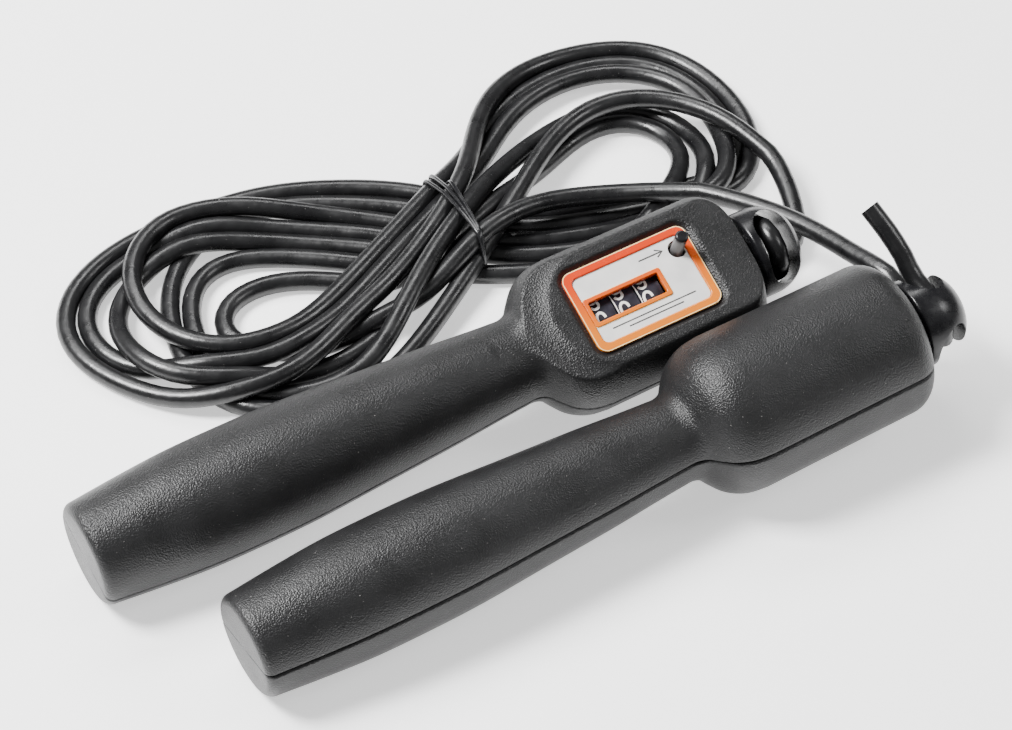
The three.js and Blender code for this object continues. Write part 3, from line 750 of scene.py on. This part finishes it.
for letter, length, matrix in (("a", LENGTH_A, KNOB_A), ("b", LENGTH_B, KNOB_B)):
    mesh = knob_mesh(length)
    mesh.transform(matrix)
    piece(f"knob_{letter}", mesh, "rope", "knob_plastic", [f"swivel_{letter}"], angle=40)

# ---- the counter ----------------------------------------------------------------------------
BAND = 2.1
WINDOW = (143.6, -0.6, 19.1, 5.5)
WINDOW_Y = WINDOW[1]
RIM = 1.1
BORDER_TOP, FILM_TOP = 11.8, 11.35
PIN_X, PIN_Y, PIN_R, PIN_TOP, PIN_HOLE = 160.8, 5.6, 1.6, 18.9, 2.4
WHEEL_R, WHEEL_Z, WHEEL_FIRST_X, WHEEL_PITCH, DRUM_WIDTH = 8.6, 1.0, 134.0, 6.5, 5.9


def plate_outline(inset, corner):
    return rounded_rectangle(PLATE_X, 0, PLATE_LENGTH - inset, PLATE_WIDTH - inset, corner)


def window_outline(grow, corner):
    x, y, length, width = WINDOW
    return rounded_rectangle(x, y, length + grow, width + grow, corner)


window_out = window_outline(2 * RIM, 0.7)
window_in = window_outline(0, 0.4)
pin_hole = circle(PIN_X, PIN_Y, PIN_HOLE)
border = slab([plate_outline(0, PLATE_CORNER), plate_outline(2 * BAND, 1.6)], 10, BORDER_TOP, 0.35)
rim = slab([window_out, window_in], 9.9, BORDER_TOP - 0.1, 0.2)
backing = slab([plate_outline(2, 2), window_in, pin_hole], 10.05, 10.9, 0.05)
plate = joined([border, rim, backing])
plate.transform(SHELL_A)
piece("counter_bezel", plate, "handle_a", "amber_plastic", ["counter_plate"])

film = slab([plate_outline(2 * BAND + 0.1, 1.5), window_out, pin_hole], 11, FILM_TOP, 0.08)
film.transform(SHELL_A)
piece("counter_film", film, "handle_a", "label_print", ["counter_label"])


def strip(points, width, z0=0.0, lift=0.04):
    """A flat ribbon along a line in the x, y plane."""
    p = np.array(points, float)
    ahead = np.gradient(p, axis=0)
    ahead /= np.linalg.norm(ahead, axis=1)[:, None] + 1e-9
    side = np.stack([-ahead[:, 1], ahead[:, 0]], axis=1) * width / 2
    rows = [[(*(a + s), z0), (*(a + s), z0 + lift), (*(a - s), z0 + lift), (*(a - s), z0)]
            for a, s in zip(p, side)]
    return grid_mesh(rows, True)


def rules():
    """Plain ruled marks on the film: an arrow towards the pin and two lines beside the window."""
    marks = [
        strip([(150.6, 6.6), (153.8, 6.6), (157, 6.6)], 0.35, FILM_TOP),
        strip([(155.4, 7.6), (157.2, 6.6), (155.4, 5.6)], 0.35, FILM_TOP),
    ]
    for y, x0, x1 in ((-6.1, 136.5, 159.5), (-7.3, 140.5, 155.5)):
        marks.append(strip([(x0, y), ((x0 + x1) / 2, y), (x1, y)], 0.32, FILM_TOP))
    return joined(marks)


def edge_lines():
    """Thin light lines along both edges of the border and round the window."""
    loops = []
    for inset, z in ((0.25, BORDER_TOP - 0.08), (2 * BAND - 0.1, FILM_TOP - 0.05)):
        loops.append((plate_outline(inset, PLATE_CORNER - inset / 2.6), z))
    loops.append((window_outline(2 * RIM + 0.1, 0.7), FILM_TOP + 0.01))
    return joined([strip(loop + loop[:2], 0.22, z, 0.06) for loop, z in loops])


for name, mesh, slot, ink in (("border_lines", edge_lines(), "amber_plastic", EDGE_GLOW),
                              ("film_rules", rules(), "label_print", INK_DARK)):
    mesh.transform(SHELL_A)
    piece(name, mesh, "handle_a", slot, material=ink, smooth=False)


# Strokes of each figure in a box 1 wide and 2 high, centred on the origin.
FIGURES = {
    0: [arc(0, 0.25, 0.5, 0.75, 0, 180) + arc(0, -0.25, 0.5, 0.75, 180, 360)],
    1: [[(-0.3, 0.6), (-0.1, 0.75), (0.1, 1), (0.1, 0), (0.1, -1)]],
    2: [arc(0, 0.5, 0.5, 0.5, 160, -30) + [(-0.1, -0.45), (-0.5, -1), (0, -1), (0.5, -1)]],
    3: [arc(0, 0.5, 0.48, 0.5, 150, -80) + arc(0, -0.5, 0.5, 0.5, 80, -150)],
    4: [[(0.2, -1), (0.2, 0), (0.2, 1), (-0.2, 0.3), (-0.55, -0.4), (0, -0.4), (0.5, -0.4)]],
    5: [[(0.45, 1), (0, 1), (-0.4, 1), (-0.45, 0.15)] + arc(0, -0.4, 0.5, 0.6, 130, -150)],
    6: [[(0.35, 0.95), (-0.1, 0.6), (-0.45, 0)] + arc(0, -0.45, 0.48, 0.55, 180, -180)],
    7: [[(-0.5, 1), (0, 1), (0.5, 1), (0.1, 0), (-0.1, -1)]],
    8: [arc(0, 0.5, 0.42, 0.5, -90, 270), arc(0, -0.5, 0.5, 0.5, 90, -270)],
    9: [arc(0, 0.4, 0.5, 0.6, 0, 360), [(0.5, 0.4), (0.5, -0.1)] + arc(0, -0.45, 0.5, 0.55, 0, -165)],
}
FIGURE_WIDTH, FIGURE_HEIGHT, STROKE = 2.2, 4.2, 0.68
FIGURE_PITCH = 2 * math.pi / 10
SHOWN_AT = math.radians(-14)


def on_drum(mesh, x, turn):
    """Rolls a flat mesh of x, y, height round a wheel at x, its origin at the given turn."""
    for v in mesh.vertices:
        a = turn + v.co.y / WHEEL_R
        r = WHEEL_R + v.co.z
        v.co = (x + v.co.x, WINDOW_Y + r * math.sin(a), WHEEL_Z + r * math.cos(a))
    return mesh


def wheel_figures(first_x):
    """The ten figures round a wheel, and the thin line that marks its left edge."""
    meshes = []
    for figure, strokes in FIGURES.items():
        for stroke in strokes:
            points = [(x * FIGURE_WIDTH, y * FIGURE_HEIGHT / 2) for x, y in stroke]
            fine = smooth_line([(x, y, 0) for x, y in points], 0.3)[:, :2]
            turn = SHOWN_AT - figure * FIGURE_PITCH
            meshes.append(on_drum(strip(fine, STROKE, 0.0, 0.06), first_x + 1.9, turn))
    mark = [(0, y) for y in np.linspace(-27, 27, 90)]
    meshes.append(on_drum(strip(mark, 0.28, 0.0, 0.05), first_x - 0.02, 0))
    return joined(meshes)


def drum_profile(x):
    left, right, flank = x - 0.25, x + DRUM_WIDTH + 0.2, WHEEL_R - 0.3
    return [(left, 1.8), (left, flank), (x, WHEEL_R), (x + DRUM_WIDTH, WHEEL_R), (right, flank),
            (right, 1.8), (left, 1.8)]


for i, place in enumerate(("hundreds", "tens", "units")):
    x = WHEEL_FIRST_X + i * WHEEL_PITCH
    body = f"wheel_{place}"
    drum = turned(drum_profile(x), 96)
    drum.transform(Matrix.Translation((0, WINDOW_Y, WHEEL_Z)))
    piece(f"number_wheel_{place}", tidy(drum, SHELL_A), body, "wheel_plastic", [body])
    figures = wheel_figures(x)
    figures.transform(SHELL_A)
    piece(f"figures_{place}", figures, body, "wheel_plastic", material=INK_LIGHT, smooth=False)

upright = Matrix.Translation((PIN_X, PIN_Y, 0)) @ Matrix.Rotation(math.radians(-90), 4, "Y")
stem = turned([(-1.5, 0.01), (-1.5, PIN_R), (PIN_TOP - 1.5, PIN_R), (PIN_TOP - 1.3, PIN_R - 0.2),
               (PIN_TOP - 1.3, 0.01)], 40)
crown = turned([(PIN_TOP - 1.35, 0.01), (PIN_TOP - 1.35, PIN_R)]
               + [(PIN_TOP - 0.7 + 0.7 * math.sin(a), PIN_R - 0.6 + 0.65 * math.cos(a))
                  for a in np.linspace(0, math.pi / 2, 7)] + [(PIN_TOP, 0.01)], 40)
for mesh in (stem, crown):
    mesh.transform(upright)
piece("reset_stem", tidy(stem, SHELL_A), "reset_button", "steel", ["reset_pin"], material=PIN_STEEL)
piece("reset_crown", tidy(crown, SHELL_A), "reset_button", "knob_plastic")

# ---- floor, light ---------------------------------------------------------------------------
FLOOR_HALF = 3
FLOOR_GLOW, WORLD_GLOW = 0.85, 0.24
floor_mesh = bpy.data.meshes.new("floor")
floor_corners = [(x * FLOOR_HALF, y * FLOOR_HALF, 0) for x, y in ((-1, -1), (1, -1), (1, 1), (-1, 1))]
floor_mesh.from_pydata(floor_corners, [], [(0, 1, 2, 3)])
floor = bpy.data.objects.new("floor", floor_mesh)
bpy.context.scene.collection.objects.link(floor)
pale = plain("floor", (0.88, 0.88, 0.88), (0.9, 0.9, 0.9), 0.7, 0.8, 400)
pale_shader = pale.node_tree.nodes["Principled BSDF"]
pale_shader.inputs["Emission Color"].default_value = (1, 1, 1, 1)
pale_shader.inputs["Emission Strength"].default_value = FLOOR_GLOW
floor_mesh.materials.append(pale)

world = bpy.data.worlds.new("world")
bpy.context.scene.world = world
world.use_nodes = True
sky = world.node_tree.nodes["Background"]
sky.inputs["Color"].default_value = (1, 1, 1, 1)
sky.inputs["Strength"].default_value = WORLD_GLOW


def softbox(name, place, aim, size, power):
    data = bpy.data.lights.new(name, "AREA")
    data.shape = "RECTANGLE"
    data.size, data.size_y = size
    data.energy = power
    lamp = bpy.data.objects.new(name, data)
    lamp.location = place
    lamp.rotation_euler = (Vector(place) - Vector(aim)).to_track_quat("Z", "Y").to_euler()
    bpy.context.scene.collection.objects.link(lamp)


softbox("key", (-0.5, 0.3, 0.85), (0, 0, 0), (0.3, 0.4), 30)
softbox("top", (0.05, 0.6, 0.85), (0, 0, 0), (0.9, 0.25), 8)
softbox("side", (0.7, -0.35, 0.7), (0, 0, 0), (0.3, 0.3), 3)
